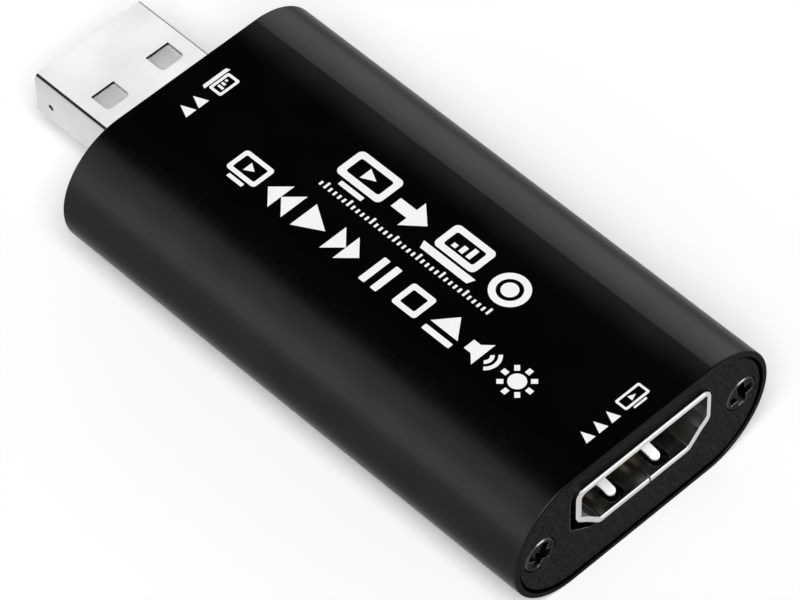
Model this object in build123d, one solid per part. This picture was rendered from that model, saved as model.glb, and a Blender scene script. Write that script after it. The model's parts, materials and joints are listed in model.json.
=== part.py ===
from build123d import *
import os

# Video capture box: a flat black aluminium dongle. A video socket fills its +X end
# and a computer plug stands out of its -X end. X runs along the length and Z is up.
# The origin is on the underside, at the middle of the overall length and width.
# All sizes are in millimetres.

# Housing: a flattened tube with round flanks, closed by a plate at each end
body_length = 51.8
body_width = 28.25
body_height = 13.05
tube_wall = 0.5
tube_end_round = 0.12
plate_thickness = 1.5
plate_recess = 0.1
plate_gap = 0.2
plate_edge_chamfer = 0.12
cut_overrun = 1.0

# Circuit board, which slides in between the screw ports and a rail along each flank
board_thickness = 1.2
board_play = 0.03
board_side_gap = 0.3
board_end_gap = 0.45
rail_overlap = 0.8
rail_thickness = 0.7
under_plug_share = 0.602473

# Screw ports inside the flanks, open downwards, and the countersunk screws that they take
port_inset = 2.885
port_lift = 0.05
port_wall = 0.55
port_slot_width = 0.9
port_web_height = 1.7
screw_length = 6.0
screw_head_radius = 1.6
screw_head_land = 0.16
screw_head_bevel = 0.12
screw_head_proud = 0.03
screw_head_play = 0.1
screw_hole_play = 0.1
screw_core_radius = 0.72
screw_crest_radius = 0.95
screw_thread_play = 0.02
screw_tip_length = 0.9
thread_pitch = 0.7
thread_start = 1.7
cross_radius = 1.3
cross_arm_width = 0.9
cross_depth = 0.95
cross_bottom_radius = 0.5
socket_screw_turns = (-28, 8)
plug_screw_turns = (15, 52)

# Video socket: a sheet shell round a tongue that carries two rows of contacts
socket_proud = 0.25
socket_depth = 11.0
socket_sheet = 0.3
mouth_half_width = 7.0
mouth_height = 4.7
mouth_foot_height = 1.97
mouth_waist_inset = 0.9
mouth_waist_height = 1.22
mouth_base_inset = 2.1
mouth_corner = 0.45
lip_depth = 0.3
lip_growth = 0.12
lip_lean = 0.16
lip_sag = 0.18
lip_outer_bevel = 0.12
lip_inner_bevel = 0.1
seam_offset = 0.6
seam_width = 0.1
lip_notch_width = 0.15
opening_gap = 0.35
opening_top_gap = 0.12
opening_shift = -0.2
opening_foot_height = 0.8
opening_base_inset = 1.6
opening_corner = 0.5
opening_head_corner = 0.87
relief_play = 0.12
socket_leg_length = 1.2
socket_front_leg = 4.1
socket_rear_leg = 9.3

# Tongue and contacts of the video socket
tongue_height = 2.55
tongue_thickness = 1.0
tongue_setback = 2.0
tongue_side_gap = 1.0
tongue_nose = 0.25
block_spring_gap = 0.6
insulator_play = 0.03
upper_contacts = 10
lower_contacts = 9
contact_pitch = 1.0
contact_width = 0.35
contact_thickness = 0.12
contact_setback = 0.7
contact_play = 0.02
contact_foot = 0.9

# Retention springs of the video socket, hinged at their roots
spring_offset = 2.48
spring_shift = -0.08
spring_width = 0.9
spring_thickness = 0.2
spring_root = 6.35
spring_apex = 2.45
spring_tip = 0.87
spring_rise = 0.45
spring_tip_rise = 0.12
spring_bend = 0.6
spring_root_gap = 0.03
window_side_gap = 0.45
window_front_gap = 0.5

# Computer plug: a sheet shell, half filled by an insulator with four contacts
plug_reach = 12.5
plug_length = 18.6
plug_width = 12.0
plug_height = 4.5
plug_sheet = 0.3
plug_bend = 0.45
plug_drop = 0.05
plug_opening_gap = 0.15
plug_seam_width = 0.08
latch_start = 5.1
latch_length = 2.1
latch_width = 2.5
latch_offset = 3.06
latch_round = 0.45
side_hole_radius = 0.3
side_hole_start = 1.8
side_hole_drop = 0.37
wing_length = 1.6
wing_reach = 1.4
wing_back = 1.2

# Insulator and contacts of the computer plug
filler_setback = 0.4
filler_nose = 0.3
cavity_depth = 11.9
pocket_depth = 0.2
plug_contact_width = 1.0
plug_contact_thickness = 0.15
inner_contact_offset = 1.0
outer_contact_offset = 3.5
inner_contact_start = 2.3
outer_contact_start = 1.3
tail_gap = 0.25
tail_room = 0.7
tail_foot = 1.0

# Legs that pass through the board, and the solder round them
leg_reach = 0.8
leg_hole_play = 0.12
solder_height = 0.5
solder_radius = 0.85
solder_tip_radius = 0.4

# Capture chip: a square package with gull-wing leads on all four sides
chip_side = 7.0
chip_height = 1.4
chip_standoff = 0.1
chip_edge = 0.2
chip_leads_per_side = 12
chip_lead_pitch = 0.5
chip_lead_width = 0.22
pin_mark_radius = 0.45
pin_mark_depth = 0.1
pin_mark_inset = 1.2

# Gull-wing leads of every package
lead_thickness = 0.13
lead_height = 0.75
lead_shoulder = 0.3
lead_drop = 0.2
lead_foot = 0.5

# Memory chip: eight leads on two sides
memory_length = 4.9
memory_width = 3.9
memory_height = 1.4
memory_leads_per_side = 4
memory_lead_pitch = 1.27
memory_lead_width = 0.41

# Regulators: two small packages with three leads and two leads
regulator_length = 2.9
regulator_width = 1.6
regulator_height = 1.1
regulator_lead_pitch = 0.95
regulator_lead_width = 0.4

# Crystal, in a ceramic tray with a metal lid
crystal_length = 5.0
crystal_width = 3.2
crystal_base_height = 0.7
crystal_lid_height = 0.4
crystal_lid_inset = 0.25
crystal_corner = 0.4

# Power inductor: a ferrite drum with a copper winding
inductor_radius = 2.0
inductor_height = 2.1
inductor_flange = 0.5
inductor_post_radius = 1.0
inductor_winding_radius = 1.75
inductor_play = 0.03

# Two-ended parts, and the end caps that they share
end_cap_length = 0.25
end_cap_swell = 0.02
capacitor_length = 1.6
capacitor_width = 0.8
capacitor_height = 0.8
chip_capacitors_per_side = 4
chip_capacitor_pitch = 1.6
resistor_length = 1.0
resistor_width = 0.5
resistor_height = 0.35
resistor_count = 8
tantalum_length = 3.5
tantalum_width = 2.8
tantalum_height = 1.9
fuse_length = 3.2
fuse_width = 1.6
fuse_height = 0.6

# Surge protection: small packages in a row behind the video socket
surge_length = 2.5
surge_width = 1.0
surge_height = 0.5
surge_count = 4

# Places along the length, counted from the middle of the overall length
tip_x = -(plug_reach + body_length + socket_proud) / 2
tube_plug_x = tip_x + plug_reach
tube_socket_x = tube_plug_x + body_length
mouth_x = tube_socket_x + socket_proud
plate_plug_x = tube_plug_x + plate_recess
plate_socket_x = tube_socket_x - plate_recess
seat_plug_x = plate_plug_x + plate_thickness
seat_socket_x = plate_socket_x - plate_thickness
board_plug_x = seat_plug_x + board_end_gap
board_socket_x = seat_socket_x - board_end_gap
socket_back_x = mouth_x - socket_depth
plug_back_x = tip_x + plug_length
notch_x = plug_back_x + tail_room

# Places across the width and up the height
mid_z = body_height / 2
port_y = body_width / 2 - port_inset
port_z = mid_z + port_lift
bore_radius = screw_crest_radius + screw_thread_play
port_radius = bore_radius + port_wall
plug_limit_z = tube_wall + plate_gap + plug_opening_gap
socket_limit_z = body_height - tube_wall - plate_gap - socket_sheet - lip_growth - opening_gap
plug_to_ceiling = plug_height / 2 + plug_drop + board_thickness / 2 + socket_sheet + mouth_height
free_height = socket_limit_z - plug_limit_z - plug_to_ceiling
plug_z = plug_limit_z + under_plug_share * free_height + plug_height / 2
board_top = plug_z + plug_drop + board_thickness / 2
board_bottom = board_top - board_thickness
floor_z = board_top + socket_sheet
ceiling_z = floor_z + mouth_height
leg_end_z = board_bottom - leg_reach
wing_y = plug_width / 2 + wing_reach
wing_x = plug_back_x - wing_back - wing_length / 2
lead_reach = lead_shoulder + lead_drop + lead_foot


def block(x_a, x_b, y_a, y_b, z_a, z_b):
    """A box between two corners."""
    box = Box(abs(x_b - x_a), abs(y_b - y_a), abs(z_b - z_a))
    return Pos((x_a + x_b) / 2, (y_a + y_b) / 2, (z_a + z_b) / 2) * box


def patch(y_a, y_b, z_a, z_b):
    """A rectangle in the cross section, between two corners."""
    return Pos((y_a + y_b) / 2, (z_a + z_b) / 2) * Rectangle(abs(y_b - y_a), abs(z_b - z_a))


def prism(face, x_a, x_b):
    """A face of the cross section, run along X between two places."""
    return extrude(Plane.YZ.offset(min(x_a, x_b)) * face, amount=abs(x_b - x_a))


def outward(x, y, z, side):
    """A plane whose normal points out of the +X end (side 1) or the -X end (side -1)."""
    return Plane(origin=(x, y, z), x_dir=(0, 1, 0), z_dir=(side, 0, 0))


def save(name, *pieces):
    """Writes one node, as a solid or as a group of separate solids."""
    solids = [solid for piece in pieces for solid in piece.solids()]
    shape = solids[0] if len(solids) == 1 else Compound(solids)
    export_step(shape, f"parts/{name}.step")


def stadium(inset):
    """The housing's cross section, drawn in all round by an inset."""
    return Pos(0, mid_z) * SlotCenterToCenter(body_width - body_height, body_height - 2 * inset)


def inner_half_width(z):
    """Half the width of the room inside the tube, at a height."""
    radius = mid_z - tube_wall
    return (body_width - body_height) / 2 + (radius**2 - (z - mid_z) ** 2) ** 0.5


def board_half_width():
    """Half the board's width, which leaves a gap to the tube at its lower corners."""
    return inner_half_width(board_bottom) - board_side_gap


def port_section(side):
    """A screw port with its web, cut flat over the board's edge, and the rail under it."""
    wall_y = body_width / 2
    rail_y = board_half_width() - rail_overlap
    low_z = board_bottom - board_play
    high_z = board_top + board_play
    port = Pos(side * port_y, port_z) * Circle(port_radius)
    web = port_web_height / 2
    port += patch(side * port_y, side * wall_y, port_z - web, port_z + web)
    port -= patch(0, side * wall_y, 0, high_z)
    port -= Pos(side * port_y, port_z) * Circle(bore_radius)
    slot = port_slot_width / 2
    port -= patch(side * port_y - slot, side * port_y + slot, 0, port_z)
    return port + patch(side * rail_y, side * wall_y, low_z - rail_thickness, low_z)


def housing_tube():
    """The extruded housing, with its ports and rails cut back behind the end plates."""
    tube = prism(stadium(0) - stadium(tube_wall), tube_plug_x, tube_socket_x)
    rims = tube.faces().sort_by(Axis.X)
    edges = rims[0].outer_wire().edges() + rims[-1].outer_wire().edges()
    tube = fillet(edges, min(tube_end_round, tube_wall / 2))
    for side in (-1, 1):
        tube += prism(port_section(side) & stadium(tube_wall / 2), seat_plug_x, seat_socket_x)
    return tube


def screw_hole(plane):
    """A countersunk hole for an end screw, sunk from the plate's outer face."""
    wide = screw_head_radius + screw_head_play
    narrow = screw_crest_radius + screw_hole_play
    down = (Align.CENTER, Align.CENTER, Align.MAX)
    straight = screw_head_land - screw_head_proud
    hole = Cylinder(narrow, plate_thickness + cut_overrun, align=down)
    hole += Cylinder(wide, straight, align=down)
    hole += Pos(0, 0, -straight) * Cone(narrow, wide, wide - narrow, align=down)
    return plane.location * hole


def end_plate(face_x, side, opening):
    """A plate that closes one end of the tube, round a connector and two screws."""
    plate = prism(stadium(tube_wall + plate_gap), face_x, face_x - side * plate_thickness)
    outer_face = plate.faces().sort_by(Axis.X)[-1 if side > 0 else 0]
    plate = chamfer(outer_face.outer_wire().edges(), plate_edge_chamfer)
    for place in (-1, 1):
        plate -= screw_hole(outward(face_x, place * port_y, port_z, side))
    inner_x = face_x - side * (plate_thickness + cut_overrun)
    return plate - prism(opening, face_x + side * cut_overrun, inner_x)


def screw():
    """A self-tapping screw, its head's face at the origin and its shank down -Z."""
    head_end = screw_head_land + screw_head_radius - screw_core_radius
    points = [(0, 0), (screw_head_radius - screw_head_bevel, 0)]
    points += [(screw_head_radius, -screw_head_bevel), (screw_head_radius, -screw_head_land)]
    points.append((screw_core_radius, -head_end))
    ridges = int((screw_length - screw_tip_length - thread_start) / thread_pitch)
    for ridge in range(ridges):
        top = -thread_start - ridge * thread_pitch
        points.append((screw_core_radius, top))
        points.append((screw_crest_radius, top - thread_pitch / 4))
        points.append((screw_core_radius, top - thread_pitch / 2))
    points.append((screw_core_radius, screw_tip_length - screw_length))
    points.append((0, -screw_length))
    body = revolve(Plane.XZ * make_face(Polyline(*points, close=True)), Axis.Z)
    down = (Align.CENTER, Align.CENTER, Align.MAX)
    cross = Box(2 * cross_radius, cross_arm_width, cross_depth, align=down)
    cross += Box(cross_arm_width, 2 * cross_radius, cross_depth, align=down)
    taper = Cone(cross_bottom_radius, cross_radius, cross_depth, align=down)
    return body - (cross & taper)


def end_screws(face_x, side, turns):
    """The two screws of one end, each left at its own turn."""
    screws = []
    for place, turn in zip((-1, 1), turns):
        plane = outward(face_x + side * screw_head_proud, place * port_y, port_z, side)
        screws.append(plane.location * Rot(0, 0, turn) * screw())
    return screws


def mouth(growth):
    """The video socket's mouth in the cross section, grown all round."""
    foot_z = floor_z + mouth_foot_height
    waist = (mouth_half_width - mouth_waist_inset, floor_z + mouth_waist_height)
    base = (mouth_half_width - mouth_base_inset, floor_z)
    right = [(mouth_half_width, ceiling_z), (mouth_half_width, foot_z), waist, base]
    left = [(-y, z) for y, z in reversed(right)]
    face = make_face(Polyline(*right, *left, close=True))
    corners = [v for v in face.vertices() if abs(abs(v.X) - waist[0]) > mouth_corner]
    face = fillet(corners, mouth_corner)
    return offset(face, amount=growth) if growth else face


def socket_opening():
    """The cut-out of the socket's end plate: straight sides, and plain slants at its feet."""
    reach = socket_sheet + lip_growth + opening_gap
    side_y = mouth_half_width + reach
    foot = (side_y, floor_z + opening_foot_height)
    base = (mouth_half_width - opening_base_inset, floor_z - reach)
    head = (side_y, ceiling_z + socket_sheet + opening_top_gap)
    right = [head, foot, base]
    left = [(-y, z) for y, z in reversed(right)]
    face = make_face(Polyline(*right, *left, close=True))
    face = fillet(face.vertices().sort_by(Axis.Y)[:-2], opening_corner)
    face = fillet(face.vertices().sort_by(Axis.Y)[-2:], opening_head_corner)
    return Pos(opening_shift, 0) * face


def spring_reliefs():
    """Room behind the cut-out's upper edge, into which the upper springs bend."""
    half = spring_width / 2 + window_side_gap
    back_x = seat_socket_x - cut_overrun
    front_x = mouth_x - spring_tip + relief_play
    high = ceiling_z + socket_sheet + lip_growth + opening_gap
    reliefs = []
    for side in (-1, 1):
        middle = side * spring_offset
        reliefs.append(block(back_x, front_x, middle - half, middle + half, ceiling_z, high))
    return reliefs


def socket_legs(spare):
    """The shell's four legs, as boxes with some spare all round."""
    legs = []
    for depth in (socket_front_leg, socket_rear_leg):
        for side in (-1, 1):
            middle = mouth_x - depth
            half = socket_leg_length / 2 + spare
            inner = side * (mouth_half_width - spare)
            outer = side * (mouth_half_width + socket_sheet + spare)
            top = floor_z + (mouth_foot_height + mouth_height) / 2
            legs.append(block(middle - half, middle + half, inner, outer, leg_end_z, top))
    return legs


def spring_window(side, level):
    """The slot that the shell leaves round a spring, in its floor (-1) or ceiling (1)."""
    half = spring_width / 2 + window_side_gap
    front = mouth_x - spring_tip + window_front_gap
    wall_z = ceiling_z if level > 0 else floor_z
    reach = socket_sheet + spring_thickness
    middle = side * spring_offset
    root_x = mouth_x - spring_root - spring_root_gap
    slot = block(root_x, front, middle - half, middle + half, wall_z - reach, wall_z + reach)
    return fillet(slot.edges().filter_by(Axis.Z).group_by(Axis.X)[-1], half / 2)


def socket_shell():
    """The folded shell: its lip, thicker above, below and on the left, and its legs."""
    shell = prism(mouth(socket_sheet), socket_back_x, mouth_x)
    even_lip = mouth(socket_sheet + lip_growth)
    lip_face = even_lip + Pos(-lip_lean, lip_lean) * even_lip + Pos(0, -lip_sag) * even_lip
    shell += prism(lip_face, mouth_x - lip_depth, mouth_x)
    rim = shell.faces().sort_by(Axis.X)[-1].edges()
    shell = chamfer(rim, lip_outer_bevel)
    shell -= prism(mouth(0), socket_back_x - cut_overrun, mouth_x + cut_overrun)
    front = shell.faces().sort_by(Axis.X)[-1]
    shell = chamfer(front.inner_wires()[0].edges(), lip_inner_bevel)
    for leg in socket_legs(0):
        shell += leg
    for level in (-1, 1):
        for side in (-1, 1):
            shell -= spring_window(side, level)
    under_z = board_top - lip_growth - lip_sag - cut_overrun
    left = seam_offset - seam_width / 2
    back_x = socket_back_x - cut_overrun
    front_x = mouth_x + cut_overrun
    shell -= block(back_x, front_x, left, left + seam_width, under_z, floor_z + socket_sheet)
    notch_left = seam_offset - lip_notch_width / 2
    notch_right = notch_left + lip_notch_width
    notch_back = mouth_x - lip_depth
    shell -= block(notch_back, front_x, notch_left, notch_right, under_z, floor_z + socket_sheet)
    return shell


def socket_spring(side, level):
    """One retention spring, bent into the mouth from the floor (-1) or ceiling (1)."""
    root = (mouth_x - spring_root, 0)
    apex = (mouth_x - spring_apex, spring_rise)
    tip = (mouth_x - spring_tip, spring_tip_rise)
    upper = [root, apex, tip]
    lower = [(x, z - spring_thickness) for x, z in reversed(upper)]
    profile = make_face(Polyline(*upper, *lower, close=True))
    bends = [v for v in profile.vertices() if abs(v.X - apex[0]) < spring_bend]
    profile = fillet(bends, spring_bend)
    middle = side * spring_offset + spring_shift
    half = spring_width / 2
    leaf = extrude(Plane.XZ.offset(-middle) * profile, amount=half, both=True)
    nose = Pos(tip[0] - half, middle) * Cylinder(half, 2 * (spring_rise + spring_thickness))
    plan = nose + block(root[0], tip[0] - half, middle - half, middle + half,
                        -spring_rise - spring_thickness, spring_rise + spring_thickness)
    leaf = leaf & plan
    if level > 0:
        return Pos(0, 0, ceiling_z) * mirror(leaf, about=Plane.XY)
    return Pos(0, 0, floor_z) * leaf


def contact_places(count):
    """Where the contacts of one row stand across the width."""
    return [(place - (count - 1) / 2) * contact_pitch for place in range(count)]


def socket_insulator():
    """The socket's insulator: a block at the back and a tongue towards the mouth."""
    block_front = mouth_x - spring_root - block_spring_gap
    body = prism(mouth(-insulator_play), socket_back_x, block_front)
    half = mouth_half_width - tongue_side_gap
    low = floor_z + tongue_height - tongue_thickness / 2
    high = low + tongue_thickness
    tongue = block(block_front, mouth_x - tongue_setback, -half, half, low, high)
    nose_edges = tongue.faces().sort_by(Axis.X)[-1].edges()
    body += chamfer(nose_edges, tongue_nose)
    clear = contact_width / 2 + contact_play
    deep = contact_thickness + contact_play
    back = socket_back_x - cut_overrun
    for y in contact_places(upper_contacts):
        body -= block(back, block_front, y - clear, y + clear, high, high + deep)
    for y in contact_places(lower_contacts):
        body -= block(back, block_front, y - clear, y + clear, low - deep, low)
    return body


def socket_contact(y, surface_z, level):
    """One contact: along the tongue, down behind the block and out to its pad."""
    half = contact_width / 2
    front = mouth_x - tongue_setback - contact_setback
    drop = socket_back_x - contact_play
    strip_z = surface_z + level * contact_thickness
    back = drop - contact_thickness
    high = max(surface_z, strip_z)
    piece = block(back, front, y - half, y + half, surface_z, strip_z)
    piece += block(back, drop, y - half, y + half, board_top, high)
    foot_top = board_top + contact_thickness
    return piece + block(drop - contact_foot, drop, y - half, y + half, board_top, foot_top)


def socket_contacts(level):
    """The row of contacts over (1) or under (-1) the tongue."""
    surface_z = floor_z + tongue_height + level * tongue_thickness / 2
    count = upper_contacts if level > 0 else lower_contacts
    return [socket_contact(y, surface_z, level) for y in contact_places(count)]


def plug_section(inset):
    """The plug's outline in the cross section, drawn in by an inset."""
    bend = plug_bend - min(inset, plug_sheet)
    outline = RectangleRounded(plug_width - 2 * inset, plug_height - 2 * inset, bend)
    return Pos(0, plug_z) * outline


def latch_windows(z_a, z_b):
    """The two latch windows, square towards the tip and round towards the housing."""
    windows = []
    for side in (-1, 1):
        low = side * latch_offset - latch_width / 2
        front = tip_x + latch_start
        window = block(front, front + latch_length, low, low + latch_width, z_a, z_b)
        windows.append(fillet(window.edges().filter_by(Axis.Z).group_by(Axis.X)[-1], latch_round))
    return windows


def wing(side, spare):
    """A wing that lies on the board, with a pin down through it."""
    half = wing_length / 2 + spare
    outer = side * (wing_y + spare)
    inner = side * (wing_y - plug_sheet - spare)
    top = board_top + plug_sheet
    root = side * (plug_width - plug_sheet) / 2
    pin = block(wing_x - half, wing_x + half, inner, outer, leg_end_z, top)
    if spare:
        return pin
    return pin + block(wing_x - half, wing_x + half, root, outer, board_top, top)


def plug_shell():
    """The plug's folded shell, with latch windows above and below and a side hole."""
    shell = prism(plug_section(0), tip_x, plug_back_x)
    shell -= prism(plug_section(plug_sheet), tip_x - cut_overrun, plug_back_x + cut_overrun)
    top_z = plug_z + plug_height / 2 + cut_overrun
    for window in latch_windows(plug_z - plug_height / 2 - cut_overrun, top_z):
        shell -= window
    hole = Cylinder(side_hole_radius, plug_width + cut_overrun, rotation=(90, 0, 0))
    shell -= Pos(tip_x + side_hole_start, 0, plug_z - side_hole_drop) * hole
    low_z = plug_z - plug_height / 2
    seam = plug_seam_width / 2
    shell -= block(tip_x - cut_overrun, plug_back_x + cut_overrun, -seam, seam,
                   low_z - cut_overrun, low_z + plug_sheet)
    for side in (-1, 1):
        shell += wing(side, 0)
    return shell


def plug_insulator():
    """The plug's insulator: a full block at the back and the upper half forward of it."""
    back_block = tip_x + cavity_depth
    body = prism(plug_section(plug_sheet + insulator_play), back_block, plug_back_x)
    half_room = patch(-plug_width, plug_width, plug_z, plug_z + plug_height)
    face = plug_section(plug_sheet + insulator_play) & half_room
    filler = prism(face, tip_x + filler_setback, back_block)
    lower_edge = filler.faces().sort_by(Axis.X)[0].edges().sort_by(Axis.Z)[0]
    body += chamfer(lower_edge, filler_nose)
    top_z = plug_z + plug_height / 2
    pocket_z = top_z - plug_sheet - pocket_depth
    for pocket in latch_windows(pocket_z, top_z):
        body -= pocket
    clear = plug_contact_width / 2 + contact_play
    low = plug_z - plug_contact_thickness - contact_play
    for y in plug_contact_places():
        body -= block(back_block, plug_back_x + cut_overrun, y - clear, y + clear, low, plug_z)
    return body


def plug_contact_places():
    """Where the plug's four contacts stand across the width."""
    return (-outer_contact_offset, -inner_contact_offset,
            inner_contact_offset, outer_contact_offset)


def plug_contacts():
    """The four contacts, with tails that step up behind the plug to the board's top."""
    contacts = []
    for y in plug_contact_places():
        outer = abs(y) > inner_contact_offset
        front = tip_x + (outer_contact_start if outer else inner_contact_start)
        half = plug_contact_width / 2
        riser = plug_back_x + tail_gap
        back = riser + plug_contact_thickness
        low = plug_z - plug_contact_thickness
        foot_z = board_top + plug_contact_thickness
        contact = block(front, back, y - half, y + half, low, plug_z)
        contact += block(riser, back, y - half, y + half, low, foot_z)
        contact += block(riser, notch_x + tail_foot, y - half, y + half, board_top, foot_z)
        contacts.append(contact)
    return contacts


def circuit_board():
    """The board, notched for the plug and pierced for the legs."""
    edge = board_half_width()
    board = block(board_plug_x, board_socket_x, -edge, edge, board_bottom, board_top)
    half = plug_width / 2 + leg_hole_play
    board -= block(board_plug_x - cut_overrun, notch_x, -half, half,
                   board_bottom - cut_overrun, board_top + cut_overrun)
    for leg in socket_legs(leg_hole_play):
        board -= leg
    for side in (-1, 1):
        board -= wing(side, leg_hole_play)
    return board


def solder_joints():
    """A cone of solder under the board round each leg."""
    leg_y = mouth_half_width + socket_sheet / 2
    pin_y = wing_y - plug_sheet / 2
    places = [(mouth_x - depth, side * leg_y)
              for depth in (socket_front_leg, socket_rear_leg) for side in (-1, 1)]
    places += [(wing_x, side * pin_y) for side in (-1, 1)]
    legs = socket_legs(0) + [wing(side, 0) for side in (-1, 1)]
    down = (Align.CENTER, Align.CENTER, Align.MAX)
    joints = []
    for (x, y), leg in zip(places, legs):
        cone = Cone(solder_tip_radius, solder_radius, solder_height, align=down)
        joints.append(Pos(x, y, board_bottom) * cone - leg)
    return joints


def spread(sizes, low, high):
    """Middles of pieces set in a row from low to high, with the same gap everywhere."""
    gap = (high - low - sum(sizes)) / (len(sizes) + 1)
    middles = []
    for size in sizes:
        middles.append(low + gap + size / 2)
        low += gap + size
    return middles


def column_places():
    """Where the six columns of parts stand along the board, between the two connectors."""
    sizes = (2 * inductor_radius, crystal_length, fuse_width, chip_side + 2 * lead_reach,
             resistor_length, surge_width)
    return spread(sizes, notch_x + tail_foot, socket_back_x - contact_foot)


def row_places(sizes):
    """Where the parts of one column stand across the board, between the screw ports."""
    edge = port_y - port_radius
    return spread(sizes, -edge, edge)


supply_x, clock_x, fuse_x, chip_x, resistor_x, surge_x = column_places()
regulator_row = regulator_width + 2 * lead_reach
supply_rows = row_places((2 * inductor_radius, regulator_row, regulator_row))
clock_rows = row_places((memory_width + 2 * lead_reach, tantalum_width, crystal_width))
fuse_rows = row_places(2 * (capacitor_width,) + (fuse_length,) + 2 * (capacitor_width,))
chip_rows = row_places((capacitor_length, chip_side + 2 * lead_reach, capacitor_length))


def package(length, width, height):
    """A moulded package with bevelled top edges and a mark at its first pin."""
    up = (Align.CENTER, Align.CENTER, Align.MIN)
    body = Pos(0, 0, chip_standoff) * Box(length, width, height, align=up)
    body = chamfer(body.faces().sort_by(Axis.Z)[-1].edges(), min(chip_edge, height / 4))
    inset = min(pin_mark_inset, width / 4)
    mark = Cylinder(min(pin_mark_radius, inset / 2), 2 * pin_mark_depth)
    return body - Pos(inset - length / 2, inset - width / 2, chip_standoff + height) * mark


def lead(width):
    """One gull-wing lead, from the package's side at the origin out along +X."""
    knee = lead_shoulder + lead_drop
    toe = knee + lead_foot
    low = lead_height - lead_thickness
    points = [(0, lead_height), (lead_shoulder, lead_height), (knee, lead_thickness),
              (toe, lead_thickness), (toe, 0), (knee - lead_thickness, 0),
              (lead_shoulder - lead_thickness, low), (0, low)]
    face = Plane.XZ * make_face(Polyline(*points, close=True))
    return extrude(face, amount=width / 2, both=True)


def lead_row(count, pitch, width, reach, turn):
    """Leads along one side of a package, turned to face that side."""
    one = lead(width)
    places = [(place - (count - 1) / 2) * pitch for place in range(count)]
    return [Rot(0, 0, turn) * Pos(reach, y, 0) * one for y in places]


def capture_chip():
    """The capture chip and its leads."""
    place = Pos(chip_x, chip_rows[1], board_top)
    leads = []
    for turn in (0, 90, 180, 270):
        leads += lead_row(chip_leads_per_side, chip_lead_pitch, chip_lead_width,
                          chip_side / 2, turn)
    body = place * package(chip_side, chip_side, chip_height)
    return [body], [place * one for one in leads]


def memory_chip():
    """The memory chip and its leads."""
    place = Pos(clock_x, clock_rows[0], board_top)
    leads = []
    for turn in (90, 270):
        leads += lead_row(memory_leads_per_side, memory_lead_pitch, memory_lead_width,
                          memory_width / 2, turn)
    body = place * package(memory_length, memory_width, memory_height)
    return [body], [place * one for one in leads]


def regulators():
    """Two regulators, each with three leads on one side and two on the other."""
    bodies = []
    leads = []
    for row in supply_rows[1:]:
        place = Pos(supply_x, row, board_top)
        bodies.append(place * package(regulator_length, regulator_width, regulator_height))
        rows = lead_row(3, regulator_lead_pitch, regulator_lead_width,
                        regulator_width / 2, 90)
        rows += lead_row(2, 2 * regulator_lead_pitch, regulator_lead_width,
                         regulator_width / 2, 270)
        leads += [place * one for one in rows]
    return bodies, leads


def crystal():
    """The crystal's ceramic tray and its metal lid."""
    place = Pos(clock_x, clock_rows[2], board_top)
    tray = RectangleRounded(crystal_length, crystal_width, crystal_corner)
    lid = RectangleRounded(crystal_length - 2 * crystal_lid_inset,
                           crystal_width - 2 * crystal_lid_inset, crystal_corner)
    base = extrude(tray, amount=crystal_base_height)
    cover = Pos(0, 0, crystal_base_height) * extrude(lid, amount=crystal_lid_height)
    return [place * base], [place * cover]


def inductor():
    """The inductor's drum core and the winding between its flanges."""
    place = Pos(supply_x, supply_rows[0], board_top)
    up = (Align.CENTER, Align.CENTER, Align.MIN)
    core = Cylinder(inductor_radius, inductor_flange, align=up)
    core += Cylinder(inductor_post_radius, inductor_height, align=up)
    upper_z = inductor_height - inductor_flange
    core += Pos(0, 0, upper_z) * Cylinder(inductor_radius, inductor_flange, align=up)
    coil_height = upper_z - inductor_flange - 2 * inductor_play
    coil = Cylinder(inductor_winding_radius, coil_height, align=up)
    coil -= Cylinder(inductor_post_radius + inductor_play, coil_height, align=up)
    return [place * core], [place * Pos(0, 0, inductor_flange + inductor_play) * coil]


def two_ended(length, width, height, turn):
    """A two-ended part at the board's origin: its body and its two end caps."""
    up = (Align.CENTER, Align.CENTER, Align.MIN)
    body = Pos(0, 0, end_cap_swell) * Box(length - 2 * end_cap_length, width, height, align=up)
    cap = Box(end_cap_length, width + 2 * end_cap_swell, height + 2 * end_cap_swell, align=up)
    reach = (length - end_cap_length) / 2
    caps = [Rot(0, 0, turn) * Pos(side * reach, 0, 0) * cap for side in (-1, 1)]
    return Rot(0, 0, turn) * body, caps


def copies(part, places):
    """Copies of a two-ended part at places on the board: all the bodies, and all the caps."""
    body, caps = part
    bodies = [Pos(x, y, board_top) * body for x, y in places]
    return bodies, [Pos(x, y, board_top) * cap for x, y in places for cap in caps]


def capacitors():
    """The ceramic capacitors: two rows beside the capture chip, and two pairs by the fuse."""
    first = -(chip_capacitors_per_side - 1) / 2
    steps = [chip_x + (first + step) * chip_capacitor_pitch
             for step in range(chip_capacitors_per_side)]
    beside = [(step, row) for step in steps for row in (chip_rows[0], chip_rows[2])]
    pairs = [(fuse_x, row) for row in fuse_rows[:2] + fuse_rows[3:]]
    size = (capacitor_length, capacitor_width, capacitor_height)
    bodies, caps = copies(two_ended(*size, 90), beside)
    more_bodies, more_caps = copies(two_ended(*size, 0), pairs)
    return bodies + more_bodies, caps + more_caps


def resistors():
    """The chip resistors, in a column between the capture chip and the socket."""
    rows = row_places(resistor_count * (resistor_width,))
    part = two_ended(resistor_length, resistor_width, resistor_height, 0)
    return copies(part, [(resistor_x, row) for row in rows])


def surge_arrays():
    """The small protection packages in a row behind the socket."""
    up = (Align.CENTER, Align.CENTER, Align.MIN)
    one = Box(surge_width, surge_length, surge_height, align=up)
    rows = row_places(surge_count * (surge_length,))
    return [Pos(surge_x, row, board_top) * one for row in rows]


def save_pair(body_name, cap_name, pair):
    """Writes the bodies and the caps or leads of one kind of part."""
    bodies, caps = pair
    save(body_name, *bodies)
    save(cap_name, *caps)


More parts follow.
